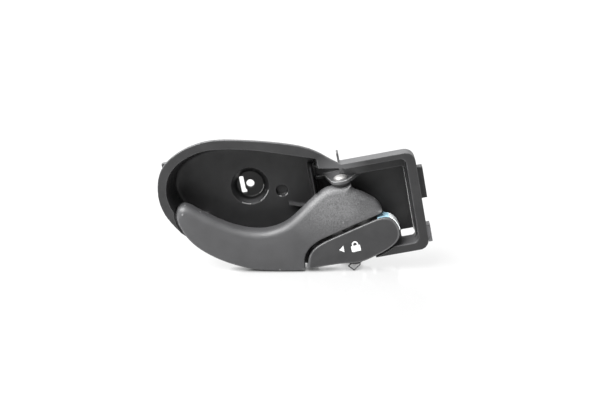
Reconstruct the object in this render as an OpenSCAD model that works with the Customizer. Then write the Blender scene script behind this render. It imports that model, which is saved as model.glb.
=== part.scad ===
// Interior door handle of a car: a pull lever and a lock lever turn on one upright pin
// in a moulded tray with a finger bowl on the left and an open cable well on the right.
// X runs to the right, Y into the door and Z up along the hinge pin.
// The origin is the centre of the fixing screw hole, on the tray's rear seat.

/* [Tray] */
// Distance from the rear seat to the front of the trim flange
tray_depth = 34; // [33:0.5:35]
// Thickness of the trim flange
flange_t = 2.5; // [2:0.1:3]
// Thickness of the bowl and well walls
wall_t = 2; // [1.6:0.1:2.4]
// Distance from the rear seat to the front of the bowl floor
bowl_floor_depth = 8; // [7:0.5:9]
// Distance from the rear seat to the front of the well floor
well_floor_depth = 12; // [11.5:0.1:12.2]
// Depth of the collar around the well, from the flange front
collar_depth = 9.7; // [8:0.1:11]

/* [Fixing] */
// Diameter of the fixing screw hole
screw_hole_d = 5; // [4:0.1:6]
// Diameter of the screw recess at the bowl floor
recess_mouth_d = 23.6; // [22:0.1:25]
// Diameter of the screw recess at its bottom
recess_floor_d = 16.6; // [15.5:0.1:18]
// Length of the locating slot beside the screw hole
slot_length = 11; // [9:0.5:12]
// Width of the locating slot
slot_width = 2.7; // [2:0.1:3]

/* [Hinge] */
// Distance of the hinge pin from the screw hole, to the right
pin_x = 56.5; // [56.4:0.1:56.6]
// Distance of the hinge pin from the rear seat, to the front
pin_depth = 28; // [27.8:0.1:28.2]
// Diameter of the hinge pin
pin_d = 4; // [3.6:0.1:4.2]
// Diameter of the pin head
pin_head_d = 8.2; // [7.6:0.1:8.6]
// Radial running clearance of the levers on the pin
running_gap = 0.06; // [0.03:0.01:0.09]
// Thickness of each hinge ear
ear_t = 2.2; // [1.8:0.1:2.4]

/* [Levers] */
// Distance of the lever faces from the rear seat
lever_face_depth = 36; // [35.5:0.1:36.5]
// Thickness of the levers from face to back rim
lever_t = 10; // [9:0.5:10.5]
// Thickness of the lever face plates
lever_skin_t = 2.8; // [2.4:0.1:3.2]
// Distance from the pin to the cable eyes
arm_length = 22.5; // [22.3:0.1:22.8]
// Full swing of the pull lever in degrees
pull_swing = 28; // [20:1:28]
// Full swing of the lock lever in degrees
lock_swing = 13; // [8:1:13]

/* [Springs] */
// Wire diameter of the return spring
spring_wire_d = 1.2; // [1:0.1:1.3]
// Mean radius of the return spring's coils
spring_r = 4.9; // [4.7:0.1:5.1]
// Number of turns of the return spring
spring_turns = 5; // [4:1:5]

/* [Cables] */
// Radius of the cable eyes in the two clips
eye_r = 1.6; // [1.2:0.1:1.8]
// Radius of the ferrule seats in the cable bracket
ferrule_r = 3; // [2.8:0.1:3]

/* [Hidden] */
$fn = 48;

// Planes of the tray along Y
flange_y = -tray_depth;
bowl_floor_y = -bowl_floor_depth;
well_floor_y = -well_floor_depth;
floor_t = 2.2;
ledge_y = flange_y + collar_depth;
recess_floor_y = -2.5;
front_cut_y = flange_y - 10;

// Levers along Y
face_y = -lever_face_depth;
lever_back_y = face_y + lever_t;
skin_y = face_y + lever_skin_t;
lever_clear_y = lever_back_y + 3;

// Hinge line
pin_y = -pin_depth;
pin_r = pin_d / 2;
bore_r = pin_r + running_gap;
bush_r = 3;
ear_top_z = 0.6;
low_ear_z = -53.6;
pin_end_z = -55.3;
knuckle_r = 5.3;
knuckle_top_z = -3.1;
spring_top_z = -7.6;
spring_bottom_z = -16.6;
pull_hub_end_z = -27.6;
lock_hub_top_z = -28.8;
lock_hub_end_z = -50.4;

// Arms behind the levers, and the cable line
eye_y = pin_y + arm_length;
arm_t = 4;
arm_w = 6;
release_arm_z = -22;
lock_arm_z = -46;
window_below = 6.2;
window_above = 2.2;
clip_r = 2.5;
clip_gap = 0.05;
eye_drop = 2.8;
screw_zs = [-32, -40];

// Rubber buffers behind the levers, in X and Z
lever_buffer_at = [-31, -15.4];
lock_buffer_at = [76, -37];

// Cavities behind the flange
bowl_right_x = 40.2;
low_wall_t = 1.2;
low_wall_y = -13;
well_left_x = bowl_right_x + low_wall_t;
well_right_x = 95.6;
well_bottom_z = -46.3;
pod_bottom_z = low_ear_z + ear_t;
bowl_taper = [0.94, 0.83];
bowl_centre = [-4, -2];

// Point at t between b and c of a smooth curve through a, b, c and d
function curve_point(a, b, c, d, t) =
  0.5 * (2 * b + (c - a) * t + (2 * a - 5 * b + 4 * c - d) * t * t
    + (3 * b - a - 3 * c + d) * t * t * t);

// Smooth open curve through the points p, with n steps between neighbours
function open_curve(p, n) = [
  for (i = [0:len(p) - 2], k = [0:n - 1])
    curve_point(p[max(i - 1, 0)], p[i], p[i + 1], p[min(i + 2, len(p) - 1)], k / n),
  p[len(p) - 1]
];

// Smooth closed curve through the points p, with n steps between neighbours
function closed_curve(p, n) = [
  for (i = [0:len(p) - 1], k = [0:n - 1])
    curve_point(p[(i + len(p) - 1) % len(p)], p[i], p[(i + 1) % len(p)],
      p[(i + 2) % len(p)], k / n)
];

// Outer rim of the flange around the bowl, from the notch over the top and back below
rim_curve = open_curve([
  [58, 11], [52.5, 15.3], [47.3, 19.8], [42, 23.4], [35, 26.9], [24, 30.7], [12, 34.1],
  [0, 37], [-10, 38.9], [-19, 39.4], [-29, 37.9], [-38.5, 34.3], [-46, 29], [-50.8, 21.3],
  [-53, 11], [-52.2, 2], [-49.1, -6], [-43.3, -15.3], [-37, -22], [-28, -30.3],
  [-18, -36.8], [-7, -41.6], [5, -45], [18, -47.6], [32, -49.4], [46, -50.6], [60, -51.2]
], 3);

// Inner edge of the bowl, from the hinge panel over the top and back below
bowl_curve = open_curve([
  [44.5, 17], [35.3, 20.1], [24, 24], [12.7, 27.8], [1.2, 30.9], [-10.5, 33.1], [-19.4, 33.8],
  [-27.5, 32.7], [-35.4, 29.8], [-41.6, 25.3], [-45.7, 19.3], [-47.8, 11], [-46.9, 3],
  [-44, -4.5], [-39.3, -11.8], [-33, -18.5], [-25, -25.2], [-16, -30.8], [-6, -35.3],
  [6, -39], [18, -41.5], [30, -43.3], [40.2, -44.3]
], 3);

// Upper edge of the pull lever from its tip to the hub
lever_top_curve = open_curve([
  [-44.6, -8], [-44.9, -3], [-43.4, 1], [-40, 2.6], [-36, 1.2], [-30.1, -3.8], [-23.8, -8.8],
  [-16.9, -13.7], [-10.3, -17.4], [-2.9, -20.4], [4.2, -22], [10.3, -22.1], [16.8, -20.9],
  [22.1, -18.7], [29.1, -14.2], [34.7, -10.2], [41, -6.1], [46.5, -3.6], [51, -3.1]
], 3);

// Right end of the pull lever and its border above the lock lever
lever_right_curve = open_curve([
  [62, -3.1], [62.8, -6.8], [68.8, -10.8], [74.8, -16], [77.3, -20.2], [77.6, -22.8],
  [74.6, -24.3], [64, -26.8], [50.5, -30.3], [38, -33.6], [31.6, -36.8], [27.6, -41],
  [25.9, -45.5], [25.4, -51.2]
], 3);

// Lower edge of the pull lever, back to its tip
lever_low_curve = open_curve([
  [25.4, -51.2], [15.9, -49.8], [3.9, -47.4], [-5, -44.9], [-13.5, -41.3], [-21.9, -36.6],
  [-30, -30.7], [-36.8, -24.1], [-41.7, -16.5], [-44.6, -8]
], 3);

// Outline of the lock lever
tongue_curve = closed_curve([
  [27.5, -50.5], [27.8, -46.2], [29.8, -41.8], [33.8, -38], [41, -34.9], [56, -31],
  [68, -28], [76, -26.3], [81, -27], [84.5, -30.6], [86, -35.5], [85.2, -40.6],
  [82, -44.4], [76, -47.6], [69, -50], [62, -51.9], [56, -52.1], [48, -51.2], [37, -50.8]
], 3);

// Solid whose outline in X and Z is the 2-D child, from y_front to y_back
module slab(y_front, y_back) {
  translate([0, y_back, 0])
    rotate([90, 0, 0])
      linear_extrude(y_back - y_front)
        children();
}

// Box between two corners
module block(low, high) {
  translate(low) cube(high - low);
}

// Rectangle between two corners, with corners of radius r
module round_rect(low, high, r) {
  polygon([
    for (c = [[high[0] - r, high[1] - r, 0], [low[0] + r, high[1] - r, 90],
        [low[0] + r, low[1] + r, 180], [high[0] - r, low[1] + r, 270]],
      a = [0:15:90])
      [c[0] + r * cos(c[2] + a), c[1] + r * sin(c[2] + a)]
  ]);
}

// Upright cylinder from z_low to z_high at a point in X and Y
module post(p, r, z_low, z_high) {
  translate([p[0], p[1], z_low]) cylinder(h = z_high - z_low, r = r);
}

// Cylinder along Y at a point in X and Z
module plug(p, r, y_front, y_back) {
  translate([p[0], y_back, p[1]])
    rotate([90, 0, 0])
      cylinder(h = y_back - y_front, r = r);
}

module frame_outline() {
  round_rect([50, -51.4], [102.4, 10.9], 6);
}

module flange_outline() {
  difference() {
    frame_outline();
    polygon([[40, 20], [40, -40], [58, -40], [58, 20]]);
  }
  polygon(concat(rim_curve, [[70, -51.2], [70, 10.9]]));
}

module bowl_outline() {
  polygon(concat(bowl_curve, [[40.2, 10.7], [44.5, 10.7]]));
}

// Bowl shape that narrows from the flange to y_back, grown outwards by extra
module bowl_body(y_back, extra) {
  depth = y_back - flange_y;
  share = depth / (bowl_floor_y - flange_y);
  taper = [1, 1] - share * ([1, 1] - bowl_taper);
  translate([bowl_centre[0], flange_y, bowl_centre[1]])
    mirror([0, 1, 0])
      rotate([90, 0, 0])
        linear_extrude(depth, scale = taper, slices = 1, segments = 0)
          translate(-bowl_centre)
            offset(delta = extra) bowl_outline();
}

// Space of the hinge behind the panel, in front of the ledge plane
module hinge_mouth() {
  polygon([[well_left_x, 11.4], [58, 8.3], [60, 8.3], [60, -40], [well_left_x, -40]]);
}

// Space of the hinge behind the ledge plane, down to the low ear
module hinge_outline() {
  polygon([
    [well_left_x, 9.8], [57, 2], [62, 0.2], [72, 0.2], [72, -44], [66, pod_bottom_z],
    [50, pod_bottom_z], [46, -48], [well_left_x, -46]
  ]);
}

module collar_opening() {
  round_rect([57, well_bottom_z], [96.6, 7.5], 3.5);
}

module well_outline() {
  round_rect([57, well_bottom_z], [well_right_x, 0.2], 2.5);
}

module pull_outline() {
  polygon(concat(lever_top_curve, lever_right_curve, lever_low_curve));
}

module tongue_outline() {
  polygon(tongue_curve);
}

// Room for both levers in front of the tray's walls
module lever_room() {
  offset(delta = 1.1) {
    pull_outline();
    tongue_outline();
  }
}

// Hinge ear seen from above: a rounded nose that widens towards the well floor
module ear_plan(nose_r, x_left, x_right) {
  hull() {
    translate([pin_x, pin_y]) circle(nose_r);
    translate([x_left, -15]) square([x_right - x_left, 4]);
  }
}

module ear(z_low, nose_r, x_left, x_right) {
  translate([0, 0, z_low]) linear_extrude(ear_t) ear_plan(nose_r, x_left, x_right);
}

module tray_walls() {
  slab(flange_y, flange_y + flange_t) flange_outline();
  slab(lever_clear_y, lever_clear_y + wall_t) {
    intersection() {
      flange_outline();
      translate([-60, -60]) square([100, 57]);
    }
    intersection() {
      offset(r = 2.4) flange_outline();
      translate([-60, -60]) square([38, 54]);
    }
    polygon([[16, -45], [18, -49.7], [33, -52.4], [36, -45]]);
    polygon([[-48.4, -13.5], [-46.2, -17.6], [-42.8, -21.2], [-38, -26.2], [-34, -24], [-42, -11]]);
  }
  bowl_body(bowl_floor_y + floor_t, wall_t);
  slab(flange_y, ledge_y + wall_t) offset(delta = wall_t) hinge_mouth();
  slab(ledge_y, well_floor_y + wall_t) offset(delta = wall_t) hinge_outline();
  slab(flange_y, ledge_y + wall_t) offset(delta = wall_t) collar_opening();
  slab(flange_y, well_floor_y + wall_t) offset(delta = wall_t) well_outline();
  slab(flange_y, ledge_y)
    difference() {
      frame_outline();
      offset(delta = -wall_t) frame_outline();
      translate([40, -60]) square([18, 80]);
    }
}

module tray_spaces() {
  bowl_body(bowl_floor_y, 0);
  slab(front_cut_y, flange_y + 0.01) bowl_outline();
  slab(front_cut_y, ledge_y) hinge_mouth();
  slab(ledge_y - 0.1, well_floor_y) hinge_outline();
  slab(front_cut_y, ledge_y) collar_opening();
  slab(front_cut_y, well_floor_y) well_outline();
  block([bowl_right_x - 0.1, front_cut_y, -44.2], [well_left_x + 0.1, low_wall_y, 11.3]);
  slab(front_cut_y, lever_clear_y) lever_room();
  slab(lever_clear_y - 0.1, -18.4)
    intersection() {
      offset(delta = 1.1) tongue_outline();
      translate([60, -60]) square([40, 60]);
    }
  block([47.2, flange_y + flange_t, 2.5], [57.6, -13.5, 20]);
  block([25, front_cut_y, -60], [66, lever_clear_y, -40]);
}

// Cup behind the bowl floor that carries the screw seat
module screw_cup() {
  plug([0, 0], recess_mouth_d / 2 + wall_t, bowl_floor_y + 0.5, 0);
  plug([19, -6.5], 5.3, bowl_floor_y + 0.5, -3);
}

module screw_recess() {
  translate([0, recess_floor_y, 0])
    rotate([90, 0, 0])
      cylinder(h = -bowl_floor_y + recess_floor_y, d1 = recess_floor_d, d2 = recess_mouth_d);
  plug([0, 0], recess_mouth_d / 2, bowl_floor_y - 1, bowl_floor_y);
  plug([0, 0], screw_hole_d / 2, -5, 1);
  slab(-5, 1)
    translate([-4.9 - slot_width / 2, -slot_length / 2]) square([slot_width, slot_length]);
  slab(-5, 1) translate([-4.9, -slot_length / 2]) square([slot_width / 2 + 0.7, 2.4]);
  plug([19, -6.5], 3.7, bowl_floor_y - 1, -4.5);
}

// Windows for the two arms, and the open lower right corner where the cables leave
module floor_windows() {
  for (window = [[pull_swing, release_arm_z], [lock_swing, lock_arm_z]]) {
    x_left = max(well_left_x, pin_x - arm_length * sin(window[0]) - 4.6);
    block([x_left, well_floor_y - 1, window[1] - window_below],
      [65, 1, window[1] + arm_t + window_above]);
  }
  block([87, -17.7, -60], [95.5, 1, -44.3]);
  block([33, -7.2, release_arm_z - 5.5], [43, 1, release_arm_z]);
}

// Clips and tabs that hold the tray in the door trim
module trim_tabs() {
  block([102.2, -28, -20.8], [106, -22, -1.2]);
  block([102.2, -27, -48.6], [104, -22, -39]);
  block([-49.6, -16, 23.6], [-38, -12.5, 26.2]);
}

// The whole tray as moulded
module tray_moulding() {
  difference() {
    union() {
      difference() {
        union() {
          tray_walls();
          screw_cup();
        }
        tray_spaces();
      }
      ear(ear_top_z - ear_t, 6.3, 46.5, 71.5);
      block([well_left_x - 0.2, -14.6, ear_top_z - ear_t], [50, -11, ear_top_z]);
      ear(low_ear_z, 4.8, 51, 61.5);
      slab(-23.6, -16) translate([56.4, 0]) square([low_wall_t, 15.3]);
      trim_tabs();
      plug(lever_buffer_at, 3, -29, bowl_floor_y + 0.5);
      plug(lock_buffer_at, 3.6, -25, well_floor_y + 0.5);
      slab(-12, bowl_floor_y + 0.5)
        polygon([[22, -14.6], [22, -15.8], [33, -19.4], [33, -18.2]]);
    }
    screw_recess();
    floor_windows();
    plug(lever_buffer_at, 1.5, -35, -24);
    plug(lock_buffer_at, 1.5, -35, -20);
    for (z = [low_ear_z, ear_top_z - ear_t])
      post([pin_x, pin_y], bush_r, z - 0.3, z + ear_t + 0.3);
    post([pin_x, pin_y], pin_head_d / 2 + 0.4, ear_top_z, ear_top_z + 2.2);
    for (z = screw_zs)
      plug([78, z], 1.2, -14, -9);
  }
}

// Everything left of the well's left wall
module bowl_side() {
  block([-80, -60, -80], [well_left_x, 20, 60]);
}

// Bowl half of the tray, with the screw seat
module bowl_tray() {
  color("#2b2b2d")
    intersection() {
      tray_moulding();
      bowl_side();
    }
}

// Well half of the tray, with the hinge ears
module well_tray() {
  color("#2b2b2d")
    difference() {
      tray_moulding();
      bowl_side();
    }
}

module hinge_pin() {
  color("#c9ccd0") {
    post([pin_x, pin_y], pin_r, pin_end_z, ear_top_z + 0.2);
    translate([pin_x, pin_y, ear_top_z + 0.05])
      rotate_extrude()
        polygon([
          [0, 0], [pin_head_d / 2, 0], [pin_head_d / 2, 0.8],
          for (a = [0:15:90]) [(pin_head_d / 2 - 0.15) * cos(a), 0.8 + 1.1 * sin(a)]
        ]);
  }
}

// Wire clip under the low ear: a ring in the pin's groove with a bent tail
module pin_clip() {
  ring_z = low_ear_z - 0.5;
  tail = [
    [pin_x - 2.4, pin_y, ring_z], [pin_x - 5, -32.4, ring_z], [pin_x - 2, -32.9, -57.1],
    [pin_x + 2.2, -32.6, ring_z - 0.2], [pin_x + 2.4, pin_y, ring_z]
  ];
  color("#55585c") {
    difference() {
      post([pin_x, pin_y], 2.9, ring_z - 0.35, ring_z + 0.35);
      post([pin_x, pin_y], pin_r + 0.01, -70, 0);
    }
    difference() {
      for (i = [0:3])
        hull() {
          translate(tail[i]) sphere(r = 0.35, $fn = 12);
          translate(tail[i + 1]) sphere(r = 0.35, $fn = 12);
        }
      post([pin_x, pin_y], pin_r + 0.01, -70, 0);
    }
  }
}

// Plain bush in an ear
module bush(z_low) {
  color("#d8d4c6")
    difference() {
      post([pin_x, pin_y], bush_r - 0.02, z_low, z_low + ear_t);
      post([pin_x, pin_y], pin_r + 0.02, z_low - 1, z_low + ear_t + 1);
    }
}

module upper_bush() {
  bush(ear_top_z - ear_t);
}

module lower_bush() {
  bush(low_ear_z);
}

module washer(z_low, z_high) {
  color("#2b2b2c")
    difference() {
      post([pin_x, pin_y], 4.9, z_low, z_high);
      post([pin_x, pin_y], pin_r + 0.1, z_low - 1, z_high + 1);
    }
}

module upper_washer() {
  washer(ear_top_z - ear_t - 1.25, ear_top_z - ear_t - 0.05);
}

module mid_washer() {
  washer(lock_hub_top_z + 0.3, pull_hub_end_z - 0.3);
}

module lower_washer() {
  washer(low_ear_z + ear_t + 0.05, lock_hub_end_z - 0.3);
}

module spring_sleeve() {
  color("#e4e0d2")
    difference() {
      post([pin_x, pin_y], 3.5, spring_bottom_z + 0.3, spring_top_z - 0.3);
      post([pin_x, pin_y], pin_r + 0.05, -30, 0);
    }
}

// Centre line of the return spring: a leg on the well floor, the coils, a leg on the lever
spring_pitch = 1.45;
spring_low_z = (spring_top_z + spring_bottom_z - spring_turns * spring_pitch) / 2;
spring_line = concat(
  [[pin_x + spring_r, well_floor_y - 1.1, spring_low_z]],
  [for (k = [0:spring_turns * 12])
    [pin_x + spring_r * cos(30 * k), pin_y + spring_r * sin(30 * k),
      spring_low_z + spring_pitch * k / 12]],
  [[pin_x + spring_r, skin_y + 1.1, spring_low_z + spring_turns * spring_pitch]]
);

function unit(v) = v / norm(v);

// Direction of the centre line at point i
function heading(i) =
  unit(spring_line[min(i + 1, len(spring_line) - 1)] - spring_line[max(i - 1, 0)]);

// Ring of the wire's surface around point i
function wire_ring(i) =
  let (side = unit(cross([0, 0, 1], heading(i))), up = cross(heading(i), side))
    [for (k = [0:7])
      spring_line[i] + spring_wire_d / 2 * (side * cos(45 * k) + up * sin(45 * k))];

module return_spring() {
  rings = len(spring_line);
  color("#9a9da1")
    polyhedron(
      [for (i = [0:rings - 1]) each wire_ring(i)],
      concat(
        [[for (k = [0:7]) k]],
        [for (i = [0:rings - 2], k = [0:7])
          [8 * i + k, 8 * i + 8 + k, 8 * i + 8 + (k + 1) % 8, 8 * i + (k + 1) % 8]],
        [[for (k = [7:-1:0]) 8 * (rings - 1) + k]]
      )
    );
}

// Arm that reaches back from the pin to a cable clip
module arm(z_low) {
  block([pin_x - arm_w / 2, pin_y, z_low], [pin_x + arm_w / 2, eye_y, z_low + arm_t]);
  post([pin_x, eye_y], 3.9, z_low, z_low + arm_t);
}

// Shell of a lever: face plate, rim behind its edge and ribs across its back
module lever_shell(rib_xs) {
  slab(face_y, skin_y + 0.1) children();
  slab(skin_y, lever_back_y)
    difference() {
      children();
      offset(delta = -2.2) children();
    }
  slab(skin_y, lever_back_y - 1)
    intersection() {
      children();
      for (x = rib_xs)
        translate([x - 0.8, -60]) square([1.6, 70]);
    }
}

module pull_lever() {
  color("#4a4b4e")
    difference() {
      union() {
        difference() {
          lever_shell([-21, -9, 3, 15, 27, 39]) pull_outline();
          post([pin_x, pin_y], 7.2, spring_bottom_z, spring_top_z);
          post([pin_x, pin_y], 5.4, -36, pull_hub_end_z);
        }
        post([pin_x, pin_y], knuckle_r, spring_top_z, knuckle_top_z);
        post([pin_x, pin_y], knuckle_r, pull_hub_end_z, spring_bottom_z);
        block([pin_x - 4, skin_y - 1, spring_top_z], [pin_x + 4, pin_y, knuckle_top_z]);
        block([pin_x - 4, skin_y - 1, pull_hub_end_z], [pin_x + 4, pin_y, spring_bottom_z]);
        arm(release_arm_z);
      }
      post([pin_x, pin_y], bore_r, -70, 10);
      post([pin_x, eye_y], clip_r, -30, -10);
    }
}

module lock_lever() {
  color("#313134")
    difference() {
      union() {
        difference() {
          lever_shell([39, 49, 68]) tongue_outline();
          post([pin_x, pin_y], 6.8, -60, lock_hub_end_z);
        }
        post([pin_x, pin_y], 4.9, lock_hub_end_z, lock_hub_top_z);
        block([pin_x - 4, skin_y - 1, lock_hub_end_z], [pin_x + 4, pin_y, -34]);
        arm(lock_arm_z);
        intersection() {
          post([pin_x, pin_y], 7.5, -37, -33);
          block([pin_x - 1.2, pin_y, -40], [pin_x + 1.2, pin_y + 10, -30]);
        }
      }
      post([pin_x, pin_y], bore_r, -70, 10);
      post([pin_x, eye_y], clip_r, -55, -30);
    }
}

// Coloured strip around the upper right edge of the lock lever
module lock_indicator() {
  color("#bcd6e4")
    slab(face_y + 1.6, lever_back_y - 0.6)
      intersection() {
        difference() {
          offset(delta = 0.5) tongue_outline();
          offset(delta = 0.02) tongue_outline();
        }
        translate([74, -36]) square([20, 20]);
      }
}

// Swivelling clip for a cable's end, held in the hole of an arm
module cable_clip(z_arm) {
  color("#d9d9d4")
    difference() {
      union() {
        post([pin_x, eye_y], clip_r - clip_gap, z_arm - 0.4, z_arm + arm_t + 0.6);
        post([pin_x, eye_y], 3.6, z_arm + arm_t + 0.3, z_arm + arm_t + 1.5);
        post([pin_x, eye_y], 3.7, z_arm - 5.5, z_arm - 0.3);
      }
      translate([pin_x - 10, eye_y, z_arm - eye_drop])
        rotate([0, 90, 0])
          cylinder(h = 20, r = eye_r);
    }
}

module release_cable_clip() {
  cable_clip(release_arm_z);
}

module lock_cable_clip() {
  cable_clip(lock_arm_z);
}

// Rubber button with a stem, pressed into a post of the tray
module buffer(p, y_front, y_seat, r) {
  color("#1d1d1e") {
    plug(p, r, y_front, y_seat);
    plug(p, 1.48, y_seat - 0.1, y_seat + 3.5);
  }
}

module lever_buffer() {
  buffer(lever_buffer_at, skin_y + 0.4, -29, 3);
}

module lock_buffer() {
  buffer(lock_buffer_at, -27.5, -25, 3);
}

// Leaf spring behind the lock hub, with a nose that the hub's lobe passes
module detent_spring() {
  nose = [pin_x - 0.85, pin_y + 7.85];
  foot_y = well_floor_y - 0.05;
  t = 0.5;
  color("#a3a6aa")
    translate([0, 0, -36.8])
      linear_extrude(3.6)
        polygon([
          [48, foot_y], [48, foot_y - t], [53, foot_y - t], nose, [63.5, foot_y - t],
          [67, foot_y - t], [67, foot_y], [63.2, foot_y], nose + [0, 1], [53.3, foot_y]
        ]);
}

// Steel angle behind the well that holds both cable ferrules
module cable_bracket() {
  seat_y = well_floor_y + wall_t + 0.02;
  color("#b3b6ba")
    difference() {
      union() {
        block([71, seat_y, -53], [85.6, seat_y + 1.4, -18]);
        block([84.2, seat_y, -53], [85.6, seat_y + 11, -18]);
      }
      for (z_arm = [release_arm_z, lock_arm_z])
        translate([80, eye_y, z_arm - eye_drop])
          rotate([0, 90, 0])
            cylinder(h = 10, r = ferrule_r);
      for (z_arm = [release_arm_z, lock_arm_z])
        block([80, eye_y, z_arm - eye_drop - ferrule_r + 0.5],
          [90, 5, z_arm - eye_drop + ferrule_r - 0.5]);
      for (z = screw_zs)
        plug([78, z], 1.7, -12, 0);
    }
}

module bracket_screws() {
  seat_y = well_floor_y + wall_t + 1.45;
  color("#c4c7cb")
    for (z = screw_zs)
      difference() {
        union() {
          plug([78, z], 2.9, seat_y, seat_y + 1.8);
          plug([78, z], 1.15, well_floor_y - 1.5, seat_y + 0.1);
        }
        slab(seat_y + 0.9, seat_y + 3)
          translate([78, z]) {
            square([3.6, 0.7], center = true);
            square([0.7, 3.6], center = true);
          }
      }
}

// Sprung grey clip on the lower tab at the right of the tray
module edge_clip() {
  color("#77787b")
    difference() {
      block([102.6, -27.9, -49.3], [104.9, -21.2, -38.3]);
      block([100, -27.05, -48.65], [104.05, -21.95, -38.95]);
      block([100, -25.5, -46.5], [110, -23.5, -41]);
    }
}

bowl_tray();
well_tray();
hinge_pin();
pin_clip();
upper_bush();
lower_bush();
upper_washer();
mid_washer();
lower_washer();
spring_sleeve();
return_spring();
pull_lever();
release_cable_clip();
lever_buffer();
lock_lever();
lock_indicator();
lock_cable_clip();
detent_spring();
lock_buffer();
cable_bracket();
bracket_screws();
edge_clip();
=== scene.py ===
"""Interior car door handle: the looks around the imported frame.

Lengths are in metres. +X runs towards the cable well, +Y into the door, +Z up the hinge pin."""

import math

import bmesh
import bpy
import numpy as np
from mathutils import Matrix, Vector


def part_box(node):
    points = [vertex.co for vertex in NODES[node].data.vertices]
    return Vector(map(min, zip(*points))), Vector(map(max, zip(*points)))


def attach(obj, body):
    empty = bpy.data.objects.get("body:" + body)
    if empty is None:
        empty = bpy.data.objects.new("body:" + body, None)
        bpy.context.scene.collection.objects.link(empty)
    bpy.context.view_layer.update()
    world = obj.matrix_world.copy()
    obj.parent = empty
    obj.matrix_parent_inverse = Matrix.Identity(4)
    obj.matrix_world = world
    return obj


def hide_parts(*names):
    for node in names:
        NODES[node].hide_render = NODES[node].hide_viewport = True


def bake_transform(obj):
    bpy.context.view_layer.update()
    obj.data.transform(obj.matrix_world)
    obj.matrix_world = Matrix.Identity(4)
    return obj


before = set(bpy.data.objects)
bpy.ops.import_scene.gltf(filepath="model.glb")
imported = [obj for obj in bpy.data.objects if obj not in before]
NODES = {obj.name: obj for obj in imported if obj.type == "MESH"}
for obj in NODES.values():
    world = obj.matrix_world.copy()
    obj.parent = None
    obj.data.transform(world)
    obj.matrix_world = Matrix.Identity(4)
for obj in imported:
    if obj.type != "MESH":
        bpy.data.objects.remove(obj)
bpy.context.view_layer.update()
MM = 0.001

# Hinge line and planes, read from the frame
PIN_LOW, PIN_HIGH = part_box("hinge_pin")
PIN_X = (PIN_LOW[0] + PIN_HIGH[0]) / 2
PIN_Y = (PIN_LOW[1] + PIN_HIGH[1]) / 2
FACE_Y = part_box("pull_lever")[0][1]
SEAM_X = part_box("bowl_tray")[1][0]
SPRING_LOW, SPRING_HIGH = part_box("return_spring")

# Planes of the design along Y
LEVER_BACK_Y = FACE_Y + 10 * MM
BOWL_FLOOR_Y = -8 * MM
RECESS_FLOOR_Y = -2.5 * MM
LEDGE_Y = -21.8 * MM

# Cell sizes of the remeshed pieces
TRAY_VOXEL = 0.4 * MM
PULL_LEVER_VOXEL = 0.4 * MM
LOCK_LEVER_VOXEL = 0.35 * MM

# Smoothing rounds that turn the bowl floor's corner into a fillet
FILLET_ROUNDS = 160

# The object leans this far to its right, on its lever and on the pin's end
LEAN = math.radians(10.7)
CAMERA_RISE = math.radians(18)
CAMERA_DISTANCE = 0.75
CAMERA_AIM = Vector((0.03034, -0.034, -0.0064))


# ---------------------------------------------------------------- mesh helpers


def new_object(name, mesh):
    piece = bpy.data.objects.new(name, mesh)
    bpy.context.scene.collection.objects.link(piece)
    return piece


def node_copy(node, name):
    """A new object with a copy of a CAD node's mesh."""
    source = NODES[node]
    mesh = source.data.copy()
    mesh.transform(source.matrix_world)
    mesh.materials.clear()
    return new_object(name, mesh)


def bake_modifiers(piece):
    """Replaces the piece's mesh by what its modifiers make of it."""
    depsgraph = bpy.context.evaluated_depsgraph_get()
    result = bpy.data.meshes.new_from_object(piece.evaluated_get(depsgraph), depsgraph=depsgraph)
    piece.modifiers.clear()
    piece.data = result


def remesh(piece, voxel):
    modifier = piece.modifiers.new("remesh", "REMESH")
    modifier.mode = "VOXEL"
    modifier.voxel_size = voxel
    bake_modifiers(piece)


def soften(piece, rounds, weights=None):
    """Rounds the piece's edges off, more where its weights (0 to 1 per vertex) are higher."""
    modifier = piece.modifiers.new("soften", "SMOOTH")
    modifier.iterations = rounds
    modifier.factor = 0.5
    if weights is not None:
        group = piece.vertex_groups.new(name="soft")
        levels = np.rint(10 * weights).astype(int)
        for level in range(1, 11):
            group.add(np.flatnonzero(levels == level).tolist(), level / 10, "REPLACE")
        modifier.vertex_group = group.name
    bake_modifiers(piece)


def shade_smooth(piece):
    piece.data.polygons.foreach_set("use_smooth", [True] * len(piece.data.polygons))
    piece.data.update()


def get_points(piece):
    points = np.empty(len(piece.data.vertices) * 3)
    piece.data.vertices.foreach_get("co", points)
    return points.reshape(-1, 3)


def set_points(piece, points):
    piece.data.vertices.foreach_set("co", points.reshape(-1))
    piece.data.update()


def ramp(value, start, end):
    """0 before start, 1 after end, and smooth between them."""
    t = np.clip((value - start) / (end - start), 0, 1)
    return t * t * (3 - 2 * t)


def face_border(node, y):
    """Border segments of a CAD node's forward faces in the plane y: X and Z of both ends, then
    the Z part of the outward normal at both ends."""
    mesh = bmesh.new()
    mesh.from_mesh(NODES[node].data)
    bmesh.ops.remove_doubles(mesh, verts=mesh.verts, dist=1e-6)
    outward = {}
    edges = []
    for edge in mesh.edges:
        flat = [f for f in edge.link_faces if all(abs(v.co.y - y) < 1e-5 for v in f.verts)]
        if len(flat) != 1:
            continue
        edges.append(edge)
        loop = next(loop for loop in edge.link_loops if loop.face == flat[0])
        start, end = loop.vert.co, loop.link_loop_next.vert.co
        normal = (end - start).cross(Vector((0, -1, 0))).normalized()
        for vertex in edge.verts:
            outward[vertex] = outward.get(vertex, Vector()) + normal
    segments = []
    for edge in edges:
        start, end = edge.verts
        rises = [outward[v].normalized().z for v in (start, end)]
        segments.append((*start.co.xz, *end.co.xz, *rises))
    mesh.free()
    return np.array(segments)


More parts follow.
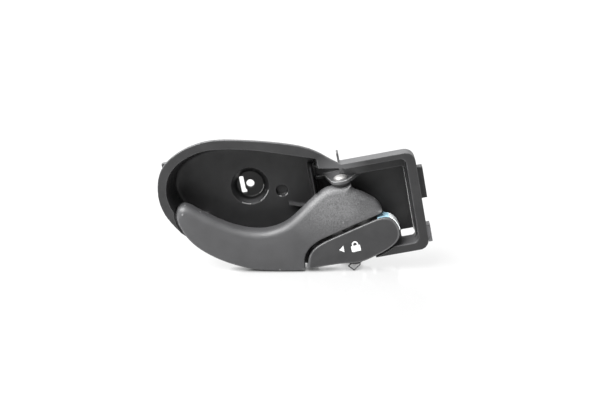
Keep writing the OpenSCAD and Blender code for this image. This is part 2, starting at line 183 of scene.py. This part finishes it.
def border_distance(points, segments):
    """Distance in the X-Z plane to the nearest segment, and the Z part of its outward normal."""
    best = np.full(len(points), np.inf)
    rise = np.zeros(len(points))
    place = points[:, [0, 2]]
    for x0, z0, x1, z1, rise0, rise1 in segments:
        start, span = np.array([x0, z0]), np.array([x1 - x0, z1 - z0])
        along = np.clip(((place - start) @ span) / max(span @ span, 1e-12), 0, 1)
        distance = np.linalg.norm(start + along[:, None] * span - place, axis=1)
        closer = distance < best
        best = np.where(closer, distance, best)
        rise = np.where(closer, rise0 + (rise1 - rise0) * along, rise)
    return best, rise


def round_edge(distance, radius):
    """Setback of a quarter-round edge at a distance from the border."""
    reach = np.clip(radius - distance, 0, radius)
    return radius - np.sqrt(np.maximum(radius**2 - reach**2, 0))


# ------------------------------------------------------------------ materials


def material(name):
    made = bpy.data.materials.new(name)
    made.use_nodes = True
    nodes, links = made.node_tree.nodes, made.node_tree.links
    shader = next(n for n in nodes if n.type == "BSDF_PRINCIPLED")
    place = nodes.new("ShaderNodeTexCoord")

    def add(kind, **sockets):
        node = nodes.new(kind)
        for key, value in sockets.items():
            node.inputs[key.replace("_", " ")].default_value = value
        return node

    return made, shader, place.outputs["Object"], add, links.new


def mix_colors(add, link, factor, low, high):
    """Mix of two colours (or colour outputs) by a factor output."""
    node = add("ShaderNodeMix")
    node.data_type = "RGBA"
    link(factor, node.inputs[0])
    for socket, value in ((node.inputs[6], low), (node.inputs[7], high)):
        if isinstance(value, tuple):
            socket.default_value = (*value, 1)
        else:
            link(value, socket)
    return node.outputs[2]


def map_range(add, link, value, low, high, to_low, to_high):
    node = add("ShaderNodeMapRange", From_Min=low, From_Max=high, To_Min=to_low, To_Max=to_high)
    link(value, node.inputs["Value"])
    return node.outputs["Result"]


def combine(add, link, operation, first, second):
    """Math node on two outputs."""
    node = add("ShaderNodeMath")
    node.operation = operation
    link(first, node.inputs[0])
    link(second, node.inputs[1])
    return node.outputs[0]


def noise(add, link, place, size, detail=3.0, roughness=0.6):
    """Noise whose features are about size metres across."""
    node = add("ShaderNodeTexNoise", Scale=1 / size, Detail=detail, Roughness=roughness)
    link(place, node.inputs["Vector"])
    return node.outputs["Fac"]


def bumps(add, link, shader, layers):
    """Chains heights, given as (output, depth in metres, strength), into the shader's normal."""
    previous = None
    for height, depth, strength in layers:
        node = add("ShaderNodeBump", Distance=depth, Strength=strength)
        link(height, node.inputs["Height"])
        if previous:
            link(previous, node.inputs["Normal"])
        previous = node.outputs["Normal"]
    link(previous, shader.inputs["Normal"])


def edge_wear_and_highlight(add, link, low, high):
    """0 on flats and 1 on sharp outer edges, which get paler both as scuffed edges and as a painted
    highlight.
    """
    geometry = add("ShaderNodeNewGeometry")
    return map_range(add, link, geometry.outputs["Pointiness"], low, high, 0, 1)


def near_point(add, link, place, point, far, near):
    """0 beyond the distance far from a point, and 1 within the distance near."""
    node = add("ShaderNodeVectorMath")
    node.operation = "DISTANCE"
    link(place, node.inputs[0])
    node.inputs[1].default_value = point
    return map_range(add, link, node.outputs["Value"], far, near, 0, 1)


def painted_rim_highlight(add, link, tone, rim_highlight):
    """Painted highlight: paler where the surface turns to the right and down, as on a rounded edge
    that catches the light.
    """
    facing = add("ShaderNodeVectorMath")
    facing.operation = "DOT_PRODUCT"
    facing.inputs[1].default_value = (0.85, 0, -0.5)
    link(add("ShaderNodeNewGeometry").outputs["Normal"], facing.inputs[0])
    turned = map_range(add, link, facing.outputs["Value"], 0.12, 0.4, 0, 1)
    return mix_colors(add, link, turned, tone, rim_highlight)


def painted_top_highlight(add, link, place, tone, dust_and_highlight):
    """Painted highlight: paler on the faces that look up, and around the top of the hinge, as where
    the light falls.
    """
    geometry = add("ShaderNodeNewGeometry")
    split = add("ShaderNodeSeparateXYZ")
    link(geometry.outputs["Normal"], split.inputs[0])
    upward = map_range(add, link, split.outputs["Z"], 0.5, 0.95, 0, 1)
    hinge = near_point(add, link, place, (PIN_X, PIN_Y, PIN_HIGH[2]), 20 * MM, 9 * MM)
    return mix_colors(add, link, combine(add, link, "MAXIMUM", upward, hinge), tone, dust_and_highlight)


def moulded_plastic(
    name, dark, light, worn_and_lit, roughness,
    grain=0.35 * MM, grain_depth=0.03 * MM, specular=0.5, dust_and_highlight=None, rim_highlight=None,
):
    """Grained moulded plastic with a cloudy tone and paler edges, scuffed and with a painted edge
    highlight. With a top tone it is the tray's: a painted highlight on the faces that look up and
    round the hinge top, and painted shade in the screw recess. With an edge tone it has a painted
    highlight where it turns right and down."""
    made, shader, place, add, link = material(name)
    cloud = noise(add, link, place, 14 * MM)
    tone = mix_colors(add, link, map_range(add, link, cloud, 0.35, 0.65, 0, 1), dark, light)
    # Tray: painted highlight on the faces that look up and round the hinge top
    if dust_and_highlight:
        tone = painted_top_highlight(add, link, place, tone, dust_and_highlight)
        # Painted shade: near black down in the screw recess
        recess = near_point(add, link, place, (0, RECESS_FLOOR_Y, 0), 10.5 * MM, 9.3 * MM)
        tone = mix_colors(add, link, recess, tone, (0.007, 0.007, 0.0068))
    # Painted highlight where the surface turns right and down
    if rim_highlight:
        tone = painted_rim_highlight(add, link, tone, rim_highlight)
    patchy = map_range(add, link, noise(add, link, place, 3 * MM), 0.3, 0.6, 0.3, 1)
    # Paler sharp edges: scuffing and a painted edge highlight
    wear_and_highlight = combine(add, link, "MULTIPLY", edge_wear_and_highlight(add, link, 0.505, 0.56), patchy)
    link(mix_colors(add, link, wear_and_highlight, tone, worn_and_lit), shader.inputs["Base Color"])
    smudge = noise(add, link, place, 8 * MM, 5.0)
    gloss = map_range(add, link, smudge, 0.3, 0.7, roughness - 0.06, roughness + 0.08)
    link(gloss, shader.inputs["Roughness"])
    shader.inputs["Specular IOR Level"].default_value = specular
    pits = add("ShaderNodeTexVoronoi", Scale=1 / grain)
    link(place, pits.inputs["Vector"])
    waves = noise(add, link, place, 6 * MM, 2.0)
    layers = [(waves, 0.15 * MM, 0.25), (pits.outputs["Distance"], grain_depth, 0.6)]
    bumps(add, link, shader, layers)
    return made


def lever_plastic():
    """The pull lever's plastic: dark grey, speckled and scuffed paler around the hinge, with
    painted shade as a darker, coarse patch to the right of the hinge, where the shoulder turns
    away."""
    made, shader, place, add, link = material("lever_plastic")
    cloud = map_range(add, link, noise(add, link, place, 18 * MM), 0.35, 0.65, 0, 1)
    tone = mix_colors(add, link, cloud, (0.045, 0.045, 0.0465), (0.056, 0.056, 0.058))
    hub = near_point(add, link, place, (PIN_X - 4 * MM, FACE_Y, -12 * MM), 32 * MM, 8 * MM)
    speckle = noise(add, link, place, 0.9 * MM, 5.0, 0.85)
    dust_and_highlight = combine(add, link, "MULTIPLY", hub, map_range(add, link, speckle, 0.38, 0.62, 0.1, 1))
    tone = mix_colors(add, link, dust_and_highlight, tone, (0.145, 0.145, 0.147))
    # Painted shade: darker, coarse patch right of the hinge, where the shoulder turns away from the
    # light
    shoulder = near_point(add, link, place, (PIN_X + 12 * MM, FACE_Y, -11 * MM), 11 * MM, 5 * MM)
    coarse = noise(add, link, place, 0.6 * MM, 5.0, 0.85)
    patch = map_range(add, link, coarse, 0.4, 0.55, 1, 0.2)
    shade = combine(add, link, "MULTIPLY", shoulder, patch)
    tone = mix_colors(add, link, shade, tone, (0.03, 0.03, 0.031))
    # Paler sharp edges: scuffing and a painted edge highlight
    wear_and_highlight = edge_wear_and_highlight(add, link, 0.508, 0.54)
    link(mix_colors(add, link, wear_and_highlight, tone, (0.17, 0.17, 0.173)), shader.inputs["Base Color"])
    smudge = noise(add, link, place, 9 * MM, 5.0)
    link(map_range(add, link, smudge, 0.3, 0.7, 0.40, 0.56), shader.inputs["Roughness"])
    pits = add("ShaderNodeTexVoronoi", Scale=1 / (0.4 * MM))
    link(place, pits.inputs["Vector"])
    waves = noise(add, link, place, 9 * MM, 2.0)
    scuffs = noise(add, link, place, 1.1 * MM, 6.0, 0.75)
    grain = pits.outputs["Distance"]
    layers = [(waves, 0.2 * MM, 0.3), (scuffs, 0.08 * MM, 0.35), (grain, 0.04 * MM, 0.7)]
    bumps(add, link, shader, layers)
    return made


def metal(name, color, roughness):
    """Metal with fine drawing lines and a slight cloudy tarnish."""
    made, shader, place, add, link = material(name)
    shader.inputs["Metallic"].default_value = 1
    stretched = add("ShaderNodeMapping", Scale=(0.2, 0.2, 4.0))
    link(place, stretched.inputs["Vector"])
    lines = noise(add, link, stretched.outputs["Vector"], 0.5 * MM, 4.0)
    cloud = noise(add, link, place, 3 * MM, 4.0)
    dull = tuple(0.72 * c for c in color)
    tarnish = map_range(add, link, cloud, 0.4, 0.7, 0, 1)
    link(mix_colors(add, link, tarnish, color, dull), shader.inputs["Base Color"])
    gloss = map_range(add, link, cloud, 0.3, 0.7, roughness - 0.06, roughness + 0.1)
    link(gloss, shader.inputs["Roughness"])
    bumps(add, link, shader, [(lines, 0.02 * MM, 0.4)])
    return made


def plain_nylon(name, color, roughness=0.45):
    """Smooth plastic with a faint mottle."""
    made, shader, place, add, link = material(name)
    mottle = noise(add, link, place, 2 * MM, 4.0)
    darker = tuple(0.8 * c for c in color)
    cloud = map_range(add, link, mottle, 0.35, 0.65, 0, 1)
    link(mix_colors(add, link, cloud, color, darker), shader.inputs["Base Color"])
    gloss = map_range(add, link, mottle, 0.3, 0.7, roughness - 0.05, roughness + 0.1)
    link(gloss, shader.inputs["Roughness"])
    bumps(add, link, shader, [(noise(add, link, place, 0.4 * MM), 0.03 * MM, 0.4)])
    return made


def indicator_plastic():
    """Pale blue insert that turns white round the right end."""
    made, shader, place, add, link = material("indicator_paint")
    split = add("ShaderNodeSeparateXYZ")
    link(place, split.inputs[0])
    across = map_range(add, link, split.outputs["X"], 80.5 * MM, 82.0 * MM, 0, 1)
    tone = mix_colors(add, link, across, (0.36, 0.58, 0.70), (0.86, 0.89, 0.90))
    soil = map_range(add, link, noise(add, link, place, 1.2 * MM, 5.0), 0.5, 0.75, 0, 0.35)
    link(mix_colors(add, link, soil, tone, (0.30, 0.36, 0.40)), shader.inputs["Base Color"])
    smudge = noise(add, link, place, 2 * MM)
    link(map_range(add, link, smudge, 0.3, 0.7, 0.22, 0.4), shader.inputs["Roughness"])
    bumps(add, link, shader, [(noise(add, link, place, 0.6 * MM), 0.02 * MM, 0.4)])
    return made


def dress(piece, finish):
    piece.data.materials.clear()
    piece.data.materials.append(finish)


# --------------------------------------------------------------------- pieces


def make_tray(finish):
    """Moulded tray in one piece, with soft edges and a fillet round the bowl floor."""
    tray = node_copy("bowl_tray", "tray_shell")
    points = get_points(tray)
    # Past the seam by one cell, so that the remesh joins both halves
    points[points[:, 0] > SEAM_X - 0.01 * MM, 0] += TRAY_VOXEL
    set_points(tray, points)
    right = node_copy("well_tray", "tray_right")
    joined = bmesh.new()
    joined.from_mesh(tray.data)
    joined.from_mesh(right.data)
    joined.to_mesh(tray.data)
    joined.free()
    bpy.data.objects.remove(right)
    remesh(tray, TRAY_VOXEL)

    # The floor's outer border: not its holes, its open right side or the fin on it
    border = face_border("bowl_tray", BOWL_FLOOR_Y)
    middles = np.column_stack((border[:, [0, 2]].mean(axis=1), border[:, [1, 3]].mean(axis=1)))
    outer = (np.hypot(*middles.T) > 26 * MM) & (middles[:, 0] < 38 * MM)
    fin = (middles[:, 0] > 20 * MM) & (abs(middles[:, 1] + 17 * MM) < 4 * MM)
    border = border[outer & ~fin]
    points = get_points(tray)
    height = BOWL_FLOOR_Y - points[:, 1]
    near = np.flatnonzero((height > -0.3 * MM) & (height < 7 * MM))
    distance, _ = border_distance(points[near], border)
    on_floor = height[near] < 0.3 * MM
    weights = np.zeros(len(points))
    weights[near[on_floor]] = 1 - ramp(distance[on_floor], 4 * MM, 7 * MM)
    on_wall = ~on_floor & (distance < 0.5 * MM + 0.26 * height[near])
    weights[near[on_wall]] = 1 - ramp(height[near[on_wall]], 3 * MM, 7 * MM)
    soften(tray, FILLET_ROUNDS, weights)
    soften(tray, 3)
    shade_smooth(tray)
    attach(tray, "tray")
    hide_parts("bowl_tray", "well_tray")
    dress(tray, finish)


def make_pull_lever(finish):
    """Pull lever with a broad bevelled upper edge, a tight lower edge and a hinge end that lies
    further back."""
    lever = node_copy("pull_lever", "pull_lever_shell")
    border = face_border("pull_lever", FACE_Y)
    remesh(lever, PULL_LEVER_VOXEL)
    points = get_points(lever)
    front = np.clip((LEVER_BACK_Y - points[:, 1]) / (LEVER_BACK_Y - FACE_Y), 0, 1)
    near_front = front > 0.02
    distance, rise = border_distance(points[near_front], border)
    x, z = points[near_front, 0], points[near_front, 2]
    upper = ramp(rise, -0.2, 0.5)
    setback = round_edge(distance, (1.3 + 1.7 * upper) * MM)
    setback += 0.32 * upper * np.clip(3.7 * MM - distance, 0, None)
    lean_back = ramp(z, -27 * MM, -2 * MM) * ramp(x, 10 * MM, 45 * MM) * 2.6 * MM
    crown = 0.5 * MM * (1 - ramp(distance, 0, 9 * MM))
    points[near_front, 1] += (setback + lean_back + crown) * front[near_front]
    set_points(lever, points)
    # Evens out the cells that the move stretched
    remesh(lever, 0.35 * MM)
    soften(lever, 6)
    shade_smooth(lever)
    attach(lever, "pull_lever")
    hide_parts("pull_lever")
    dress(lever, finish)


def make_lock_lever(finish):
    """Lock lever with a narrow round edge, tighter under the pull lever."""
    lever = node_copy("lock_lever", "lock_lever_shell")
    border = face_border("lock_lever", FACE_Y)
    remesh(lever, LOCK_LEVER_VOXEL)
    points = get_points(lever)
    front = np.clip((LEVER_BACK_Y - points[:, 1]) / (LEVER_BACK_Y - FACE_Y), 0, 1)
    near_front = front > 0.02
    distance, rise = border_distance(points[near_front], border)
    shaded = ramp(rise, 0.3, 0.8) * (1 - ramp(points[near_front, 0], 72 * MM, 80 * MM))
    crown = 0.35 * MM * (1 - ramp(distance, 0, 8 * MM))
    setback = round_edge(distance, (1.6 - 1.2 * shaded) * MM) + crown
    points[near_front, 1] += setback * front[near_front]
    set_points(lever, points)
    soften(lever, 3)
    shade_smooth(lever)
    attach(lever, "lock_lever")
    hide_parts("lock_lever")
    dress(lever, finish)


def flat_shapes(name, outlines, front_y, back_y):
    """Solid plates whose outlines are lists of X and Z."""
    mesh = bmesh.new()
    for outline in outlines:
        front = [mesh.verts.new((x, front_y, z)) for x, z in outline]
        back = [mesh.verts.new((x, back_y, z)) for x, z in outline]
        mesh.faces.new(front)
        mesh.faces.new(back[::-1])
        for i, vertex in enumerate(front):
            before = i - 1
            mesh.faces.new((front[before], vertex, back[i], back[before]))
    bmesh.ops.recalc_face_normals(mesh, faces=mesh.faces)
    data = bpy.data.meshes.new(name)
    mesh.to_mesh(data)
    mesh.free()
    return new_object(name, data)


def arc(centre, radius, start, end, steps=12):
    angles = np.linspace(math.radians(start), math.radians(end), steps + 1)
    return [(centre[0] + radius * math.cos(a), centre[1] + radius * math.sin(a)) for a in angles]


def make_lock_mark(finish):
    """Printed mark of the lock lever: an arrowhead to the left and a padlock."""
    tilt = math.radians(3)
    arrow = [(-10.1, 0), (-7.1, 2.0), (-7.3, -2.1)]
    body = arc((2.3, 0.1), 0.5, 0, 90, 4) + arc((-2.3, 0.1), 0.5, 90, 180, 4)
    body += arc((-2.3, -2.8), 0.5, 180, 270, 4) + arc((2.3, -2.8), 0.5, 270, 360, 4)
    shackle = [(1.9, 0.5)] + arc((0, 1.4), 1.9, 0, 180) + [(-1.9, 0.5), (-1.1, 0.5)]
    shackle += arc((0, 1.4), 1.1, 180, 0) + [(1.1, 0.5)]
    centre = (58.0 * MM, -41.0 * MM)
    outlines = [
        [
            (
                centre[0] + MM * (x * math.cos(tilt) - z * math.sin(tilt)),
                centre[1] + MM * (x * math.sin(tilt) + z * math.cos(tilt)),
            )
            for x, z in outline
        ]
        for outline in (arrow, body, shackle)
    ]
    mark = flat_shapes("lock_mark", outlines, FACE_Y - 0.04 * MM, FACE_Y + 0.4 * MM)
    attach(mark, "lock_lever")
    dress(mark, finish)


def round_wire(name, line, radius):
    """Round wire along a line of points."""
    curve = bpy.data.curves.new(name, "CURVE")
    curve.dimensions = "3D"
    curve.bevel_depth = radius
    curve.bevel_resolution = 4
    curve.use_fill_caps = True
    spline = curve.splines.new("POLY")
    spline.points.add(len(line) - 1)
    for point, place in zip(spline.points, line):
        point.co = (*place, 1)
    source = bpy.data.objects.new(name, curve)
    bpy.context.scene.collection.objects.link(source)
    bpy.context.view_layer.update()
    depsgraph = bpy.context.evaluated_depsgraph_get()
    mesh = bpy.data.meshes.new_from_object(source.evaluated_get(depsgraph), depsgraph=depsgraph)
    bpy.data.objects.remove(source)
    wire = new_object(name, mesh)
    shade_smooth(wire)
    return wire


def make_return_spring(finish):
    """Return spring as a round wire, which winds up between the tray and the pull lever."""
    turns, wire, radius = 5, 0.6 * MM, 4.9 * MM
    low, high = SPRING_LOW[2] + wire, SPRING_HIGH[2] - wire
    steps = 28 * turns
    line = [(PIN_X + radius, SPRING_HIGH[1] - wire, low)]
    for k in range(steps + 1):
        angle = 2 * math.pi * turns * k / steps
        height = low + (high - low) * k / steps
        line.append((PIN_X + radius * math.cos(angle), PIN_Y + radius * math.sin(angle), height))
    line.append((PIN_X + radius, SPRING_LOW[1] + 4 * MM, high))
    spring = round_wire("return_spring_wire", line, wire)
    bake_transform(spring)
    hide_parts("return_spring")
    dress(spring, finish)


def make_recess_highlights(finish):
    """Painted highlights along stretches of the screw recess's rims and of the small socket's edge,
    as thin paler arcs of (centre X and Z, radius, width, Y, start and end in degrees)."""
    stretches = [
        ((0, 0), 11.6, 0.55, -7.95, -66, -24), ((0, 0), 11.6, 0.4, -7.95, -126, -98),
        ((0, 0), 8.5, 0.35, -2.75, -58, -12),
        ((19, -6.5), 3.7, 0.7, -7.8, -66, -34), ((19, -6.5), 3.7, 0.6, -7.8, -124, -104),
    ]
    pieces = []
    for centre, radius, width, y, start, end in stretches:
        outer = arc(centre, radius + width / 2, start, end, 16)
        inner = arc(centre, radius - width / 2, end, start, 16)
        outline = [(x * MM, z * MM) for x, z in outer + inner]
        pieces.append(flat_shapes("painted_recess_highlight", [outline], (y - 0.25) * MM, (y + 0.4) * MM))
    for piece in pieces:
        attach(piece, "tray")
        dress(piece, finish)


def make_highlight_beads(finish):
    """Painted highlights along the front edge of the upper ear and the well's border on its ledge,
    as thin paler beads.
    """
    ear_z = (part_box("upper_bush")[1][2] - 0.2 * MM) / MM
    pin = (PIN_X / MM, PIN_Y / MM)
    nose = [(x, y, ear_z) for x, y in arc(pin, 6.15, 202, 318, 24)]
    ear = [(41.8, -14.5, ear_z), (46.8, -14.8, ear_z), *nose, (71.2, -15.1, ear_z)]
    well = [(60, 0.25), *arc((92.5, -2.25), 2.5, 90, 0, 6), (95, -42)]
    well = [(x, LEDGE_Y / MM + 0.15, z) for x, z in well]
    for line in (ear, well):
        bead = round_wire("painted_edge_highlight", [Vector(point) * MM for point in line], 0.22 * MM)
        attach(bead, "tray")
        dress(bead, finish)


def make_ear_ribs(finish):
    """Fine upright ribs along the right flank of the upper ear."""
    ear_low, ear_high = (corner[2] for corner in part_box("upper_bush"))
    start = Vector((PIN_X + 5.42 * MM, PIN_Y - 3.2 * MM, (ear_low + ear_high) / 2))
    end = Vector((PIN_X + 15 * MM, -15 * MM, start.z))
    turn = Matrix.Rotation(math.atan2(end.y - start.y, end.x - start.x), 4, "Z")
    size = Matrix.Diagonal((0.5 * MM, 0.8 * MM, ear_high - ear_low - 0.3 * MM, 1))
    mesh = bmesh.new()
    for k in range(9):
        place = Matrix.Translation(start.lerp(end, 0.1 + 0.08 * k))
        bmesh.ops.create_cube(mesh, size=1, matrix=place @ turn @ size)
    data = bpy.data.meshes.new("ear_ribs")
    mesh.to_mesh(data)
    mesh.free()
    ribs = new_object("ear_ribs", data)
    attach(ribs, "tray")
    dress(ribs, finish)


def make_camera():
    camera = bpy.data.objects.new("camera", bpy.data.cameras.new("camera"))
    bpy.context.scene.collection.objects.link(camera)
    camera.data.lens = 75
    camera.data.sensor_width = 36
    camera.data.clip_start = 0.01
    right = Vector((math.cos(LEAN), 0, -math.sin(LEAN)))
    level = math.cos(CAMERA_RISE)
    up = Vector((level * math.sin(LEAN), math.sin(CAMERA_RISE), level * math.cos(LEAN)))
    back = right.cross(up)
    turn = Matrix((right, up, back)).transposed().to_4x4()
    camera.matrix_world = Matrix.Translation(CAMERA_AIM + CAMERA_DISTANCE * back) @ turn
    bpy.context.scene.camera = camera


def make_floor():
    """Light table that the leaning handle stands on, with a painted contact shadow: its emission is
    dimmed by ambient occlusion where the handle nearly touches it.
    """
    floor_up = Vector((math.sin(LEAN), 0, math.cos(LEAN)))
    touch = Vector((PIN_X - 2 * MM, 0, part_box("pin_clip")[0][2]))
    mesh = bpy.data.meshes.new("table")
    side = floor_up.cross(Vector((0, 1, 0))).normalized()
    along, across = 6.0 * side, Vector((0, 6.0, 0))
    signs = ((-1, -1), (1, -1), (1, 1), (-1, 1))
    corners = [touch + a * along + b * across for a, b in signs]
    mesh.from_pydata(corners, [], [(0, 1, 2, 3)])
    table = new_object("table", mesh)
    made, shader, place, add, link = material("table_paint")
    cloud = noise(add, link, place, 40 * MM)
    tone = mix_colors(add, link, cloud, (0.12, 0.12, 0.12), (0.13, 0.13, 0.13))
    link(tone, shader.inputs["Base Color"])
    shader.inputs["Emission Color"].default_value = (1, 1, 1, 1)
    # Painted contact shadow: the emission falls off with ambient occlusion near the handle
    open_sky = add("ShaderNodeAmbientOcclusion", Distance=6 * MM)
    glow_with_painted_shadow = map_range(add, link, open_sky.outputs["AO"], 0.1, 0.75, 0.02, 0.665)
    link(glow_with_painted_shadow, shader.inputs["Emission Strength"])
    shader.inputs["Roughness"].default_value = 0.12
    shader.inputs["Specular IOR Level"].default_value = 0.5
    dress(table, made)


def make_area_light(name, place, aim, size, power):
    lamp = bpy.data.lights.new(name, "AREA")
    lamp.shape = "RECTANGLE"
    lamp.size, lamp.size_y = size
    lamp.energy = power
    light = bpy.data.objects.new(name, lamp)
    bpy.context.scene.collection.objects.link(light)
    light.location = place
    light.rotation_euler = (Vector(aim) - Vector(place)).to_track_quat("-Z", "Y").to_euler()


def make_lights():
    """World that is brighter towards the back, left and top, and one softbox above."""
    world = bpy.data.worlds.new("studio")
    world.use_nodes = True
    nodes, link = world.node_tree.nodes, world.node_tree.links.new
    background = next(n for n in nodes if n.type == "BACKGROUND")
    facing = nodes.new("ShaderNodeVectorMath")
    facing.operation = "DOT_PRODUCT"
    facing.inputs[1].default_value = (-0.6, 1.5, 0.4)
    link(nodes.new("ShaderNodeTexCoord").outputs["Generated"], facing.inputs[0])
    strength = nodes.new("ShaderNodeMapRange")
    levels = (("From Min", -1.2), ("From Max", 0.5), ("To Min", 0.35), ("To Max", 1.0))
    for key, value in levels:
        strength.inputs[key].default_value = value
    link(facing.outputs["Value"], strength.inputs["Value"])
    link(strength.outputs["Result"], background.inputs["Strength"])
    background.inputs["Color"].default_value = (1, 1, 1, 1)
    bpy.context.scene.world = world
    make_area_light("top_softbox", (-0.2, -0.22, 0.52), (0.02, -0.02, 0), (0.7, 0.5), 16)


def main():
    # Tray: painted highlight on top and round the hinge top, painted shade in the screw recess
    tray_plastic = moulded_plastic(
        "tray_plastic", (0.018, 0.018, 0.0185), (0.025, 0.0248, 0.0255), (0.085, 0.085, 0.087),
        0.42, specular=0.4, dust_and_highlight=(0.075, 0.075, 0.077),
    )
    # Lock lever plastic, with a painted highlight where it turns right and down
    lock_plastic = moulded_plastic(
        "lock_plastic", (0.024, 0.024, 0.025), (0.031, 0.031, 0.032), (0.13, 0.13, 0.133),
        0.42, 0.3 * MM, 0.02 * MM, rim_highlight=(0.15, 0.15, 0.152),
    )
    clip_plastic = moulded_plastic(
        "clip_plastic", (0.10, 0.10, 0.104), (0.13, 0.13, 0.135), (0.25, 0.25, 0.26), 0.45
    )
    # Paler plastic for the painted highlights on the recess rims, the ear's front edge and the
    # well's border
    highlight_plastic = moulded_plastic(
        "painted_highlight_plastic", (0.16, 0.16, 0.16), (0.26, 0.26, 0.26), (0.4, 0.4, 0.4),
        0.3, 0.3 * MM, 0.02 * MM,
    )
    rubber = moulded_plastic(
        "buffer_rubber", (0.012, 0.012, 0.012), (0.018, 0.018, 0.018), (0.03, 0.03, 0.03),
        0.7, 0.25 * MM,
    )
    bright_steel = metal("pin_steel", (0.72, 0.71, 0.70), 0.55)
    dark_wire = metal("clip_wire", (0.10, 0.10, 0.105), 0.4)
    spring_steel = metal("spring_steel", (0.42, 0.42, 0.43), 0.32)
    zinc = metal("zinc_steel", (0.62, 0.63, 0.64), 0.36)
    nylon = plain_nylon("natural_nylon", (0.74, 0.71, 0.62))
    black_nylon = plain_nylon("black_nylon", (0.03, 0.03, 0.031), 0.5)
    print_white = plain_nylon("print_white", (0.86, 0.86, 0.86), 0.5)
    indicator = indicator_plastic()

    make_tray(tray_plastic)
    make_ear_ribs(tray_plastic)
    make_recess_highlights(highlight_plastic)
    make_highlight_beads(highlight_plastic)
    make_pull_lever(lever_plastic())
    make_lock_lever(lock_plastic)
    make_lock_mark(print_white)
    make_return_spring(spring_steel)

    finishes = {
        "hinge_pin": bright_steel, "pin_clip": dark_wire, "upper_bush": nylon, "lower_bush": nylon,
        "upper_washer": black_nylon, "mid_washer": black_nylon, "lower_washer": black_nylon,
        "spring_sleeve": nylon, "release_cable_clip": nylon, "lock_cable_clip": nylon,
        "lever_buffer": rubber, "lock_buffer": rubber, "detent_spring": spring_steel,
        "cable_bracket": zinc, "bracket_screws": zinc, "edge_clip": clip_plastic,
        "lock_indicator": indicator,
    }
    for node, finish in finishes.items():
        dress(NODES[node], finish)
        bevel = NODES[node].modifiers.new("bevel", "BEVEL")
        bevel.width = 0.15 * MM
        bevel.segments = 2
        bevel.limit_method = "ANGLE"
        bevel.angle_limit = math.radians(40)

    make_camera()
    make_floor()
    make_lights()
    bpy.context.scene.view_settings.view_transform = "Standard"


main()
